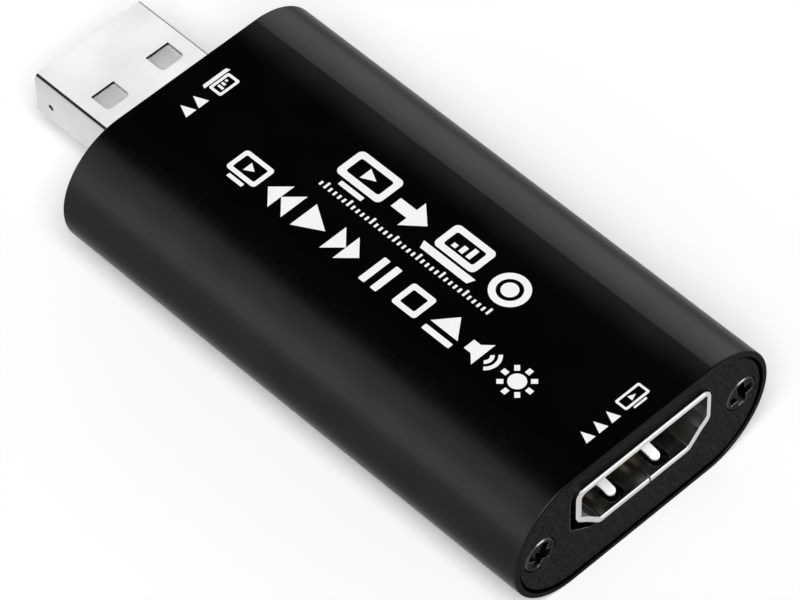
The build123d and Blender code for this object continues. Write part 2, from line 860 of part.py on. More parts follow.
def build_housing():
    """The tube, its end plates and their screws."""
    save("housing_tube", housing_tube())
    socket_plate = end_plate(plate_socket_x, 1, socket_opening())
    for relief in spring_reliefs():
        socket_plate -= relief
    save("socket_end_plate", socket_plate)
    save("plug_end_plate", end_plate(plate_plug_x, -1, plug_section(-plug_opening_gap)))
    save("socket_end_screws", *end_screws(plate_socket_x, 1, socket_screw_turns))
    save("plug_end_screws", *end_screws(plate_plug_x, -1, plug_screw_turns))


def build_connectors():
    """The video socket, the computer plug and the solder that holds them."""
    save("socket_shell", socket_shell())
    save("socket_insulator", socket_insulator())
    save("socket_upper_contacts", *socket_contacts(1))
    save("socket_lower_contacts", *socket_contacts(-1))
    for level, level_name in ((-1, "lower"), (1, "upper")):
        for side, side_name in ((-1, "left"), (1, "right")):
            save(f"socket_spring_{level_name}_{side_name}", socket_spring(side, level))
    save("plug_shell", plug_shell())
    save("plug_insulator", plug_insulator())
    save("plug_contacts", *plug_contacts())
    save("solder_joints", *solder_joints())


def build_board():
    """The circuit board and the parts on it."""
    save("circuit_board", circuit_board())
    save_pair("capture_chip", "capture_chip_leads", capture_chip())
    save_pair("memory_chip", "memory_chip_leads", memory_chip())
    save_pair("regulators", "regulator_leads", regulators())
    save_pair("crystal_base", "crystal_lid", crystal())
    save_pair("inductor_core", "inductor_winding", inductor())
    save_pair("ceramic_capacitors", "capacitor_end_caps", capacitors())
    save_pair("chip_resistors", "resistor_end_caps", resistors())
    tantalum = two_ended(tantalum_length, tantalum_width, tantalum_height, 0)
    tantalum_place = (clock_x, clock_rows[1])
    save_pair("tantalum_capacitor", "tantalum_end_caps", copies(tantalum, [tantalum_place]))
    fuse = two_ended(fuse_length, fuse_width, fuse_height, 90)
    save_pair("supply_fuse", "fuse_end_caps", copies(fuse, [(fuse_x, fuse_rows[2])]))
    save("surge_arrays", *surge_arrays())


os.makedirs("parts", exist_ok=True)
build_housing()
build_connectors()
build_board()
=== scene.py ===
import bpy
import json
import math
from mathutils import Matrix, Vector


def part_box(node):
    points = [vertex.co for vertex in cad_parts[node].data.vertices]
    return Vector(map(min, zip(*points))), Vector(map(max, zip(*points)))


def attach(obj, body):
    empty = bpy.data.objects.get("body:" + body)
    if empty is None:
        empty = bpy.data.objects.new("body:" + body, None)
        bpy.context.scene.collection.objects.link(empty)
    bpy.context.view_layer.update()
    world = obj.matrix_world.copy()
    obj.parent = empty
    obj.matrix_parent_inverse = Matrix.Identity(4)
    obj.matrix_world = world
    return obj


# Video capture box: finishes, printed pictograms, floor, lights and camera.
# Everything is in metres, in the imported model's frame; MM turns millimetres into metres.
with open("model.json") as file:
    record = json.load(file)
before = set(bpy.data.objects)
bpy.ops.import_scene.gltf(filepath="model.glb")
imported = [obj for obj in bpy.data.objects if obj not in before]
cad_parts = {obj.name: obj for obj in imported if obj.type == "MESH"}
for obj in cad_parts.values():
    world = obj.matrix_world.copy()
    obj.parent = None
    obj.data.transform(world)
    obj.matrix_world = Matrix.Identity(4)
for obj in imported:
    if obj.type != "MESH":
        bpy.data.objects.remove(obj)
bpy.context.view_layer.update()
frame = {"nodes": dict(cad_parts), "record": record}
MM = 0.001

# Camera, solved from the photograph: where it aims, how it is turned and how far it stands
AIM = Vector((5.837, -0.905, 6.187)) * MM
AZIMUTH = math.radians(46.744)
ELEVATION = math.radians(50.573)
ROLL = math.radians(-1.325)
DISTANCE = 441.092 * MM
# The lens and the sensor are in the camera's own millimetres
LENS = 247.749
SENSOR = 36.0
CLIP_RATIO = 100


def polar(azimuth, elevation):
    """The direction from the object towards an azimuth and elevation, in radians."""
    flat = math.cos(elevation)
    return Vector((math.sin(azimuth) * flat, -math.cos(azimuth) * flat, math.sin(elevation)))


def make_camera():
    """The camera at the photograph's place."""
    back = polar(AZIMUTH, ELEVATION)
    level = Vector((math.cos(AZIMUTH), math.sin(AZIMUTH), 0))
    upright = back.cross(level)
    right = level * math.cos(ROLL) + upright * math.sin(ROLL)
    up = back.cross(right)
    data = bpy.data.cameras.new("camera")
    data.lens = LENS
    data.sensor_width = SENSOR
    data.clip_start = DISTANCE / CLIP_RATIO
    data.clip_end = DISTANCE * CLIP_RATIO
    camera = bpy.data.objects.new("camera", data)
    turn = Matrix((right, up, back)).transposed()
    camera.matrix_world = Matrix.Translation(AIM + back * DISTANCE) @ turn.to_4x4()
    bpy.context.scene.collection.objects.link(camera)
    bpy.context.scene.camera = camera


# Sizes of the finishes, in millimetres

# The tube's crown starts and ends at these distances from its middle line, and falls by this
CROWN_START = 4.4
CROWN_END = 10.6
CROWN_FALL = 0.25
# The latch windows' front, from the plug's tip, and how near to it a cut face is painted dark as shade
LATCH_START = 5.1
LATCH_REACH = 0.06
# How far round the socket the end plate's edges are rubbed, and over what width that fades
RUB_REACH = 0.7
RUB_FADE = 0.14
# The screws' heads, where their rims start, and the depths where a recess's painted shade starts and is
# full
HEAD_RADIUS = 1.6
RIM_START = 1.46
RECESS_TOP = 0.05
RECESS_DARK = 0.15

# How much of its colour a face keeps: cut sheet, and as painted shade, bent sheet, its inside and the
# tube's end faces
CUT_SHARE = 0.93
BEND_SHADE_SHARE = 0.3
INNER_SHADE_SHARE = 0.65
END_SHADE_SHARE = 0.25

# Grey levels of the special places, and how much smoother the tube's flats are
COATED_EDGE = 0.05
RUBBED_EDGE = 0.35
RUBBED_RIM = 0.07
# Painted shade: the near black of a latch window's front cut face and of the screws' recesses
LATCH_SHADE_GREY = 0.006
RECESS_SHADE = 0.002
FLAT_POLISH = 0.14

# The metals: patches of tone and of wear, in millimetres, the share by which their tone varies,
# and how much of the wear an edge has between the patches
TONE_PATCH = 6.0
WEAR_PATCH = 0.7
TONE_SPREAD = 0.07
LEAST_WEAR = 0.25

# The mouldings: patches of tone and the radius of their edges, in millimetres, how far their
# roughness varies, and how much paler their edges are
MOULD_PATCH = 1.6
MOULD_EDGE = 0.05
MOULD_SPREAD = 0.06
MOULD_PALING = 0.08

# The cosine between the rounded and the plain normal where an edge starts and where it is full
EDGE_START = 0.995
EDGE_FULL = 0.9

NOISE_DETAIL = 3

# How the springs' nodes begin
SPRING_NODES = "socket_spring"


# Node recipes


def add(tree, kind, inputs=None, **settings):
    """One node, with its settings, and its inputs set to values or linked from sockets."""
    made = tree.nodes.new(kind)
    for name, value in settings.items():
        setattr(made, name, value)
    for name, value in (inputs or {}).items():
        if isinstance(value, bpy.types.NodeSocket):
            tree.links.new(value, made.inputs[name])
        else:
            made.inputs[name].default_value = value
    return made


def grey(level):
    """A neutral colour."""
    return (level, level, level, 1)


def start(name):
    """A new material with one Principled shader: its tree and that shader."""
    material = bpy.data.materials.new(name)
    material.use_nodes = True
    tree = material.node_tree
    return material, tree, tree.nodes["Principled BSDF"]


def spots(tree, across, along=None):
    """Noise from 0 to 1, with features of a size in millimetres, drawn out along X if asked."""
    place = add(tree, "ShaderNodeTexCoord").outputs["Object"]
    along = along or across
    scale = (1 / (along * MM), 1 / (across * MM), 1 / (across * MM))
    mapped = add(tree, "ShaderNodeMapping", {"Vector": place, "Scale": scale})
    noise = add(tree, "ShaderNodeTexNoise",
                {"Vector": mapped.outputs["Vector"], "Scale": 1.0, "Detail": NOISE_DETAIL})
    return noise.outputs["Fac"]


def ramp(tree, value, low, high, to_low, to_high, shape="LINEAR"):
    """A value taken from one range to another, held at both ends."""
    return add(tree, "ShaderNodeMapRange", {
        "Value": value, "From Min": low, "From Max": high, "To Min": to_low, "To Max": to_high},
        interpolation_type=shape).outputs["Result"]


def vary(tree, noise, low, high, reach=0.2):
    """Noise taken to a range, which its values within a reach of one half fill."""
    return ramp(tree, noise, 0.5 - reach, 0.5 + reach, low, high)


def math_node(tree, operation, first, second):
    """Two values put through one operation."""
    return add(tree, "ShaderNodeMath", {0: first, 1: second}, operation=operation).outputs[0]


def mix(tree, factor, first, second):
    """Two colours, mixed by a factor. The node's sockets share names, so they go by number."""
    made = add(tree, "ShaderNodeMix", {0: factor, 6: first, 7: second}, data_type="RGBA")
    return made.outputs[2]


def unsigned(tree, value):
    """A value without its sign."""
    return math_node(tree, "ABSOLUTE", value, 0.0)


def coordinate(tree, axis):
    """Where a point lies along one axis of the shared frame."""
    place = add(tree, "ShaderNodeTexCoord").outputs["Object"]
    return add(tree, "ShaderNodeSeparateXYZ", {"Vector": place}).outputs[axis]


def by_end(tree, at_plug, at_socket):
    """One value in the plug's half of the box, and another in the socket's."""
    return ramp(tree, coordinate(tree, "X"), -MM, MM, at_plug, at_socket)


def facing(tree):
    """The normal of a face as it was built, and its three parts."""
    normal = add(tree, "ShaderNodeNewGeometry").outputs["True Normal"]
    return normal, add(tree, "ShaderNodeSeparateXYZ", {"Vector": normal}).outputs


def edges(tree, radius):
    """The normal rounded over an edge radius, and a mask that is 1 along sharp edges."""
    soft = add(tree, "ShaderNodeBevel", {"Radius": radius * MM}, samples=6).outputs["Normal"]
    plain = add(tree, "ShaderNodeNewGeometry").outputs["Normal"]
    dot = add(tree, "ShaderNodeVectorMath", {0: soft, 1: plain}, operation="DOT_PRODUCT")
    return soft, ramp(tree, dot.outputs["Value"], EDGE_START, EDGE_FULL, 0.0, 1.0)


def bump(tree, height, strength, depth, normal=None):
    """A bump of a real depth in millimetres, over a normal if one is given."""
    inputs = {"Height": height, "Strength": strength, "Distance": depth * MM}
    if normal is not None:
        inputs["Normal"] = normal
    return add(tree, "ShaderNodeBump", inputs).outputs["Normal"]


def worn_finish(name, colour, worn, roughness, spread, grain, depth, edge, along=None, tint=1.0,
                speckle=0.0, paint=None, shape=None):
    """A coated or plated metal: fine grain in gloss and height, and wear along its edges.
    Worn is a colour, or makes one from place to place. Paint may change the worn surface,
    and shape the normal and the roughness."""
    material, tree, shader = start(name)
    fine = spots(tree, grain, along)
    broad = spots(tree, TONE_PATCH)
    soft, rim = edges(tree, edge)
    polish = 0.0
    if shape:
        soft, polish = shape(tree, soft)
    patches = vary(tree, spots(tree, WEAR_PATCH), LEAST_WEAR, 1.0, reach=0.12)
    wear = math_node(tree, "MULTIPLY", rim, patches)
    tone = vary(tree, broad, 1 - TONE_SPREAD, 1 + TONE_SPREAD, reach=0.15)
    if speckle:
        tone = math_node(tree, "MULTIPLY", tone, vary(tree, fine, 1 - speckle, 1 + speckle))
    body = add(tree, "ShaderNodeVectorMath", {0: colour[:3], "Scale": tone}, operation="SCALE").outputs[0]
    surface = mix(tree, wear, body, worn(tree) if callable(worn) else worn)
    if paint:
        surface = paint(tree, surface)
    tree.links.new(surface, shader.inputs["Base Color"])
    gloss = vary(tree, fine, roughness - spread, roughness + spread)
    smudge = vary(tree, broad, -spread / 2, spread / 2, reach=0.15)
    gloss = math_node(tree, "SUBTRACT", math_node(tree, "ADD", gloss, smudge), polish)
    tree.links.new(gloss, shader.inputs["Roughness"])
    tree.links.new(bump(tree, fine, 0.6, depth, soft), shader.inputs["Normal"])
    shader.inputs["Metallic"].default_value = 1.0
    shader.inputs["Specular Tint"].default_value = grey(tint)
    return material


def crowned(tree, normal):
    """The extrusion's flats are the smoothest, and fall away a little towards the flanks."""
    out = unsigned(tree, coordinate(tree, "Y"))
    level = ramp(tree, out, CROWN_START * MM, CROWN_END * MM, 1.0, 0.0, "SMOOTHSTEP")
    polish = math_node(tree, "MULTIPLY", level, FLAT_POLISH)
    return bump(tree, level, 1.0, CROWN_FALL, normal), polish


def toned(tree, mask, colour, share):
    """A colour, brought down to a share of itself under a mask."""
    lower = add(tree, "ShaderNodeVectorMath", {0: colour, "Scale": share}, operation="SCALE")
    return mix(tree, mask, colour, lower.outputs[0])


def cut_faces(tree):
    """A mask that is 1 on the faces square to X."""
    parts = facing(tree)[1]
    return ramp(tree, unsigned(tree, parts["X"]), 0.9, 0.98, 0.0, 1.0)


def shaded_ends(tree, colour):
    """Painted shade: the tube's end faces, square to X, are darkened to a share of their colour."""
    return toned(tree, cut_faces(tree), colour, END_SHADE_SHARE)


def rubbed_mouth(tree):
    """The end plates' edges keep their coat, but plugs have rubbed it thin round the socket."""
    low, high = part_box("socket_shell")
    spans = []
    for axis, middle, half in (("Y", 0.0, high.y), ("Z", (low.z + high.z) / 2, (high.z - low.z) / 2)):
        away = unsigned(tree, math_node(tree, "SUBTRACT", coordinate(tree, axis), middle))
        reach = half + RUB_REACH * MM
        spans.append(ramp(tree, away, reach, reach + RUB_FADE * MM, 1.0, 0.0))
    near = math_node(tree, "MULTIPLY", math_node(tree, "MULTIPLY", *spans), by_end(tree, 0.0, 1.0))
    return mix(tree, near, grey(COATED_EDGE), grey(RUBBED_EDGE))


def inner_faces(tree):
    """A mask that is 1 on the faces of the two shells that look at their middles."""
    middles = []
    for name in ("plug_insulator", "socket_insulator"):
        low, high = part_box(name)
        middles.append((low.z + high.z) / 2)
    up = math_node(tree, "SUBTRACT", coordinate(tree, "Z"), by_end(tree, *middles))
    offset = add(tree, "ShaderNodeCombineXYZ", {"Y": coordinate(tree, "Y"), "Z": up}).outputs[0]
    normal, parts = facing(tree)
    # On an inward face, the way out from the middle and the normal point against each other
    dot = add(tree, "ShaderNodeVectorMath", {0: offset, 1: normal}, operation="DOT_PRODUCT")
    inward = ramp(tree, dot.outputs["Value"], -1.0 * MM, -0.5 * MM, 1.0, 0.0)
    level = ramp(tree, unsigned(tree, parts["X"]), 0.3, 0.5, 1.0, 0.0)
    return math_node(tree, "MULTIPLY", inward, level)


def plug_bends(tree):
    """A mask that is 1 where the plug's long bends leave its broad faces."""
    parts = facing(tree)[1]
    out, up = (unsigned(tree, parts[axis]) for axis in ("Y", "Z"))
    bent = ramp(tree, out, 0.15, 0.35, 0.0, 1.0)
    near_flat = ramp(tree, up, 0.6, 0.8, 0.0, 1.0)
    turned = math_node(tree, "MULTIPLY", bent, near_flat)
    return math_node(tree, "MULTIPLY", turned, by_end(tree, 1.0, 0.0))


def cut_and_shaded(tree, colour):
    """A plated sheet is duller on its cut faces. Painted shade darkens its inside and the plug's long
    bends, and blackens the cut face where a latch window begins.
    """
    cut = cut_faces(tree)
    # Cut faces are a little duller; painted shade darkens the shells' inward faces
    sheet = toned(tree, inner_faces(tree), toned(tree, cut, colour, CUT_SHARE), INNER_SHADE_SHARE)
    # Painted shade along the plug's long bends
    sheet = toned(tree, plug_bends(tree), sheet, BEND_SHADE_SHARE)
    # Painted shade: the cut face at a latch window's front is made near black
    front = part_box("plug_shell")[0].x + LATCH_START * MM
    near = add(tree, "ShaderNodeMath", {0: coordinate(tree, "X"), 1: front, 2: LATCH_REACH * MM},
               operation="COMPARE")
    latch_shade_mask = math_node(tree, "MULTIPLY", cut, near.outputs[0])
    return mix(tree, latch_shade_mask, sheet, grey(LATCH_SHADE_GREY))


def rubbed_and_shaded(tree, colour):
    """The screws' rims are a little rubbed, and painted shade blackens them down in their recesses."""
    low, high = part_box("plug_end_screws")[0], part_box("socket_end_screws")[1]
    out = unsigned(tree, coordinate(tree, "Y"))
    across = math_node(tree, "SUBTRACT", out, high.y - HEAD_RADIUS * MM)
    up = math_node(tree, "SUBTRACT", coordinate(tree, "Z"), (low.z + high.z) / 2)
    offset = add(tree, "ShaderNodeCombineXYZ", {"X": across, "Y": up}).outputs[0]
    radius = add(tree, "ShaderNodeVectorMath", {0: offset}, operation="LENGTH").outputs["Value"]
    rim = ramp(tree, radius, RIM_START * MM, (RIM_START + HEAD_RADIUS) / 2 * MM, 0.0, 1.0)
    rubbed = mix(tree, rim, colour, grey(RUBBED_RIM))
    # Painted shade: near black deep in each recess, inside the rim
    along = unsigned(tree, math_node(tree, "SUBTRACT", coordinate(tree, "X"), (low.x + high.x) / 2))
    depth = math_node(tree, "SUBTRACT", (high.x - low.x) / 2, along)
    deep = ramp(tree, depth, RECESS_TOP * MM, RECESS_DARK * MM, 0.0, 1.0)
    inside = math_node(tree, "MULTIPLY", deep, math_node(tree, "SUBTRACT", 1.0, rim))
    return mix(tree, inside, rubbed, grey(RECESS_SHADE))


def moulded(name, colour, roughness, grain=0.12, depth=0.004, level=0.5, variety=0.12):
    """A moulded, fired or lacquered surface: mottled colour, fine grain and soft edges."""
    material, tree, shader = start(name)
    fine = spots(tree, grain)
    broad = spots(tree, MOULD_PATCH)
    soft, rim = edges(tree, MOULD_EDGE)
    low, high = ([c * share for c in colour[:3]] + [1] for share in (1 - variety, 1 + variety))
    body = mix(tree, broad, low, high)
    pale = [c + (1 - c) * MOULD_PALING for c in colour[:3]] + [1]
    tree.links.new(mix(tree, rim, body, pale), shader.inputs["Base Color"])
    gloss = vary(tree, fine, roughness - MOULD_SPREAD, roughness + MOULD_SPREAD)
    tree.links.new(gloss, shader.inputs["Roughness"])
    tree.links.new(bump(tree, fine, 0.5, depth, soft), shader.inputs["Normal"])
    shader.inputs["Specular IOR Level"].default_value = level
    return material


def laminate():
    """Black lacquer over a woven glass board, with its weave faintly raised."""
    material, tree, shader = start("board_lacquer")
    place = add(tree, "ShaderNodeTexCoord").outputs["Object"]
    threads = []
    for direction in ("X", "Y"):
        wave = add(tree, "ShaderNodeTexWave", {"Vector": place, "Scale": 1 / (1.6 * MM),
                                               "Distortion": 0.4}, bands_direction=direction)
        threads.append(wave.outputs["Fac"])
    weave = math_node(tree, "MULTIPLY", *threads)
    body = mix(tree, weave, (0.009, 0.01, 0.011, 1), (0.016, 0.018, 0.02, 1))
    tree.links.new(body, shader.inputs["Base Color"])
    tree.links.new(vary(tree, spots(tree, 0.5), 0.22, 0.34), shader.inputs["Roughness"])
    tree.links.new(bump(tree, weave, 0.4, 0.01), shader.inputs["Normal"])
    return material


def wound_wire():
    """Enamelled wire, wound in fine level turns round Z."""
    material, tree, shader = start("enamelled_wire")
    place = add(tree, "ShaderNodeTexCoord").outputs["Object"]
    wave = add(tree, "ShaderNodeTexWave", {"Vector": place, "Scale": 1 / (0.9 * MM)},
               bands_direction="Z", wave_profile="SIN")
    turns = wave.outputs["Fac"]
    body = mix(tree, turns, (0.3, 0.09, 0.03, 1), (0.82, 0.33, 0.13, 1))
    tree.links.new(body, shader.inputs["Base Color"])
    tree.links.new(vary(tree, spots(tree, 0.2), 0.18, 0.3), shader.inputs["Roughness"])
    tree.links.new(bump(tree, turns, 1.0, 0.05), shader.inputs["Normal"])
    shader.inputs["Metallic"].default_value = 1.0
    return material


def ink():
    """White screen-printed ink: slightly mottled and matte, with a fine grain in height."""
    material, tree, shader = start("white_ink")
    body = mix(tree, spots(tree, 0.25), grey(0.9), grey(0.98))
    tree.links.new(body, shader.inputs["Base Color"])
    tree.links.new(vary(tree, spots(tree, 0.1), 0.5, 0.62), shader.inputs["Roughness"])
    tree.links.new(bump(tree, spots(tree, 0.08), 0.3, 0.004), shader.inputs["Normal"])
    return material


def finishes():
    """One material for each of the record's slots, with sizes in millimetres."""
    return {
        "anodised_tube": worn_finish(
            "black_anodised", grey(0.022), grey(0.045), roughness=0.3, spread=0.02,
            grain=0.09, along=0.9, depth=0.0012, edge=0.06, tint=0.58, paint=shaded_ends, shape=crowned),
        "end_plates": worn_finish(
            "black_blasted", grey(0.017), rubbed_mouth, roughness=0.5, spread=0.05,
            grain=0.26, depth=0.012, edge=0.09, tint=0.55, speckle=0.8),
        "black_screws": worn_finish(
            "black_screw_plating", grey(0.012), grey(0.3), roughness=0.24, spread=0.05,
            grain=0.2, depth=0.003, edge=0.05, tint=0.57, paint=rubbed_and_shaded),
        "nickel_shells": worn_finish(
            "bright_nickel", (0.61, 0.61, 0.605), grey(0.93), roughness=0.22, spread=0.02,
            grain=0.05, along=1.5, depth=0.0003, edge=0.04, paint=cut_and_shaded),
        "gold_contacts": worn_finish(
            "gold_plating", (0.74, 0.6, 0.36), (0.85, 0.72, 0.48, 1), roughness=0.22, spread=0.04,
            grain=0.1, along=0.6, depth=0.001, edge=0.03),
        "tinned_leads": worn_finish(
            "tin_plating", (0.72, 0.72, 0.71), grey(0.8), roughness=0.32, spread=0.06,
            grain=0.15, depth=0.002, edge=0.03),
        "solder": worn_finish(
            "bright_solder", (0.66, 0.66, 0.67), grey(0.75), roughness=0.2, spread=0.05,
            grain=0.3, depth=0.004, edge=0.04),
        "crystal_metal": worn_finish(
            "crystal_lid_metal", (0.7, 0.69, 0.66), grey(0.8), roughness=0.3, spread=0.05,
            grain=0.06, along=1.0, depth=0.001, edge=0.04),
        "board_laminate": laminate(),
        "copper_wire": wound_wire(),
        "socket_black_plastic": moulded("black_moulding", grey(0.01), roughness=0.5, level=0.25),
        "plug_pale_plastic": moulded("pale_moulding", (0.5, 0.5, 0.495), roughness=0.45, variety=0.1),
        "package_black": moulded("chip_epoxy", grey(0.018), roughness=0.55, grain=0.08, depth=0.006),
        "crystal_ceramic": moulded("crystal_tray", (0.45, 0.37, 0.26), roughness=0.6),
        "ferrite": moulded("ferrite_body", grey(0.04), roughness=0.5, grain=0.1, depth=0.01),
        "capacitor_ceramic": moulded("capacitor_body", (0.5, 0.34, 0.18), roughness=0.45),
        "resistor_ceramic": moulded("resistor_film", grey(0.02), roughness=0.3),
        "tantalum_yellow": moulded("tantalum_case", (0.75, 0.48, 0.06), roughness=0.5),
        "fuse_green": moulded("fuse_polymer", (0.03, 0.2, 0.09), roughness=0.4),
    }


def spring_leaf():
    """The springs' rubbed satin plating, paler than the shell and half matt."""
    material = worn_finish(
        "rubbed_spring_plating", (0.95, 0.95, 0.94), grey(0.97), roughness=0.42, spread=0.05,
        grain=0.08, along=0.8, depth=0.001, edge=0.05)
    material.node_tree.nodes["Principled BSDF"].inputs["Metallic"].default_value = 0.5
    return material


def dress():
    """Puts each slot's finish on its nodes, and the springs' own finish on the springs."""
    made = finishes()
    leaf = spring_leaf()
    for part in frame["record"]["subparts"]:
        name = part["node"]
        mesh = frame["nodes"][name].data
        mesh.materials.clear()
        mesh.materials.append(leaf if name.startswith(SPRING_NODES) else made[part["material_slot"]])


# Printed pictograms. Shapes are outlines in millimetres, as lists of points; a hole is an
# outline inside another. Each pictogram is drawn about its own middle, upright towards +Y,
# and rows and marks are placed from the middle of the housing.
INK_THICKNESS = 0.02
INK_SINK = 0.002
CIRCLE_POINTS = 48


def arc(x, y, radius, begin, end, steps):
    """Points along an arc, in degrees."""
    angles = [math.radians(begin + (end - begin) * step / steps) for step in range(steps + 1)]
    return [(x + radius * math.cos(a), y + radius * math.sin(a)) for a in angles]


def disc(radius):
    """A full circle."""
    steps = CIRCLE_POINTS - 1
    return [arc(0, 0, radius, 0, 360 * steps / CIRCLE_POINTS, steps)]


def ring(radius, stroke):
    """A circle with a hole."""
    return disc(radius) + disc(radius - stroke)


def slab(x_a, x_b, y_a, y_b, corner=0.1):
    """A rectangle with rounded corners."""
    points = []
    for x, y, begin in ((x_b - corner, y_b - corner, 0), (x_a + corner, y_b - corner, 90),
                        (x_a + corner, y_a + corner, 180), (x_b - corner, y_a + corner, 270)):
        points += arc(x, y, corner, begin, begin + 90, 6)
    return [points]


def frame_slab(x_a, x_b, y_a, y_b, stroke, corner):
    """A rounded rectangle with a rounded hole."""
    inner = slab(x_a + stroke, x_b - stroke, y_a + stroke, y_b - stroke, corner / 2)
    return slab(x_a, x_b, y_a, y_b, corner) + inner


def wedge(x, y, length, height):
    """A triangle that points along +X, or along -X if its length is negative."""
    half = length / 2
    return [[(x - half, y + height / 2), (x + half, y), (x - half, y - height / 2)]]


def peak(y, width, height):
    """A triangle that points along +Y, or along -Y if its height is negative."""
    half = height / 2
    return [[(-width / 2, y - half), (0, y + half), (width / 2, y - half)]]


def arrow(length, shaft, head_length, head_height):
    """An arrow that points along +X."""
    tail, neck, tip = -length / 2, length / 2 - head_length, length / 2
    return [[(tail, shaft / 2), (neck, shaft / 2), (neck, head_height / 2), (tip, 0),
             (neck, -head_height / 2), (neck, -shaft / 2), (tail, -shaft / 2)]]


def screen(width, height, stroke):
    """A television: an outline with a play wedge, on a foot."""
    half, top = width / 2, height / 2
    foot, foot_half = height * 0.2, width * 0.26
    shape = frame_slab(-half, half, foot - top, top, stroke, stroke * 0.8)
    shape += slab(-foot_half, foot_half, -top, -top + foot * 0.6, 0.05)
    return shape + wedge(width * 0.02, foot / 2, width * 0.25, height * 0.33)


def laptop(width, height, stroke):
    """A laptop: an outline with three bars of a level, on a wide base."""
    half, top = width / 2, height / 2
    base, base_low = height * 0.19, half * 0.9
    lid_half, lid_foot = half * 0.78, base * 1.35 - top
    shape = frame_slab(-lid_half, lid_half, lid_foot, top, stroke, stroke * 0.8)
    shape += [[(-half, base - top), (half, base - top), (base_low, -top), (-base_low, -top)]]
    floor = lid_foot + stroke
    room = top - stroke - floor
    bar_half, pitch = width * 0.04, width * 0.14
    for step, share in enumerate((0.42, 0.62, 0.84)):
        x = (step - 1) * pitch
        shape += slab(x - bar_half, x + bar_half, floor + room * 0.16, floor + room * share, 0.03)
    return shape


def speaker(height, stroke):
    """A loudspeaker with two waves."""
    half = height / 2
    neck, neck_half = -half * 0.5, half * 0.38
    mouth, mouth_half = half * 0.05, half * 0.9
    shape = [[(-half, neck_half), (neck, neck_half), (mouth, mouth_half),
              (mouth, -mouth_half), (neck, -neck_half), (-half, -neck_half)]]
    centre, spread, steps = half * 0.12, 48, 12
    for radius in (half * 0.55, half * 0.98):
        outer = arc(centre, 0, radius, -spread, spread, steps)
        inner = arc(centre, 0, radius - stroke * 0.7, spread, -spread, steps)
        shape.append(outer + inner)
    return shape


def sunburst(radius, stroke):
    """A brightness mark: a disc inside eight rays."""
    rays = 8
    shape = disc(radius * 0.48)
    for step in range(rays):
        angle = math.radians(360 / rays * step)
        along = Vector((math.cos(angle), math.sin(angle)))
        side = Vector((-along.y, along.x)) * stroke / 2
        near, far = along * radius * 0.66, along * radius
        shape.append([tuple(near + side), tuple(far + side), tuple(far - side), tuple(near - side)])
    return shape


def place(shape, x, y, turn=0):
    """A shape turned by quarter turns, then moved."""
    angle = math.radians(90 * turn)
    cos, sin = round(math.cos(angle)), round(math.sin(angle))
    return [[(x + u * cos - v * sin, y + u * sin + v * cos) for u, v in loop] for loop in shape]


def print_piece(name, shape, material):
    """A flat piece of ink on the top face, in one mesh, that rides on the housing."""
    curve = bpy.data.curves.new(name, "CURVE")
    curve.dimensions = "2D"
    curve.fill_mode = "BOTH"
    curve.extrude = (INK_THICKNESS + INK_SINK) / 2 * MM
    for loop in shape:
        spline = curve.splines.new("POLY")
        spline.points.add(len(loop) - 1)
        for point, (x, y) in zip(spline.points, loop):
            point.co = (x * MM, y * MM, 0, 1)
        spline.use_cyclic_u = True
    holder = bpy.data.objects.new(name + "_outline", curve)
    bpy.context.scene.collection.objects.link(holder)
    bpy.context.view_layer.update()
    solid = holder.evaluated_get(bpy.context.evaluated_depsgraph_get())
    mesh = bpy.data.meshes.new_from_object(solid)
    bpy.data.objects.remove(holder)
    bpy.data.curves.remove(curve)
    low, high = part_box("housing_tube")
    height = high.z + (INK_THICKNESS - INK_SINK) / 2 * MM
    mesh.transform(Matrix.Translation(((low.x + high.x) / 2, 0, height)))
    mesh.materials.clear()
    mesh.materials.append(material)
    piece = bpy.data.objects.new(name, mesh)
    bpy.context.scene.collection.objects.link(piece)
    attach(piece, "housing")


def signal_row():
    """The bold row: a screen, an arrow, a laptop and a record ring, each at its place."""
    middle, height = 2.05, 3.9
    marks = (
        (-7.0, screen(5.0, height, 0.64)),
        (-1.85, arrow(3.6, 1.15, 1.8, 3.2)),
        (3.7, laptop(5.8, height, 0.62)),
        (9.2, ring(1.75, 0.62) + disc(0.75)),
    )
    return [loop for along, mark in marks for loop in place(mark, along, middle)]


def tick_row():
    """A fine time scale under the bold row, with a taller tick at every fifth place."""
    shape = []
    middle, low, tall, short = 0.15, -1.0, 0.72, 0.45
    pitch, stroke, each_side = 0.525, 0.22, 18
    for step in range(-each_side, each_side + 1):
        x = step * pitch + middle
        high = low + (tall if step % 5 == 3 else short)
        shape += slab(x - stroke / 2, x + stroke / 2, low, high, 0.03)
    return shape


def control_row():
    """The long row: nine control marks at an even pitch."""
    height = 3.0
    half, stop = height / 2, height * 0.44
    near, far, skip = 0.68, 0.84, 1.5
    bar, bars_half = 0.66, 1.0
    marks = [
        screen(3.3, 3.1, 0.42),
        wedge(-near, 0, -skip, height) + wedge(far, 0, -skip, height),
        wedge(0.1, 0, 2.5, height),
        wedge(-far, 0, skip, height) + wedge(near, 0, skip, height),
        slab(-bars_half, bar - bars_half, -half, half) + slab(bars_half - bar, bars_half, -half, half),
        frame_slab(-stop, stop, -stop, stop, 0.52, 0.3),
        peak(0.5, height, 1.9) + slab(-half, half, -half, 0.56 - half),
        speaker(height, 0.5),
        sunburst(half * 1.08, 0.46),
    ]
    shape = []
    first, last, middle = -14.4, 16.1, -4.05
    pitch = (last - first) / (len(marks) - 1)
    for step, mark in enumerate(marks):
        shape += place(mark, first + pitch * step, middle)
    return shape


def plug_mark():
    """At the plug's end: a laptop, and two wedges that point out towards the plug."""
    along = -22.7
    shape = place(laptop(2.9, 1.9, 0.26), along, 0.95, -1)
    for y in (-1.7, -3.1):
        shape += place(peak(0, 1.15, -1.3), along, y, -1)
    return shape


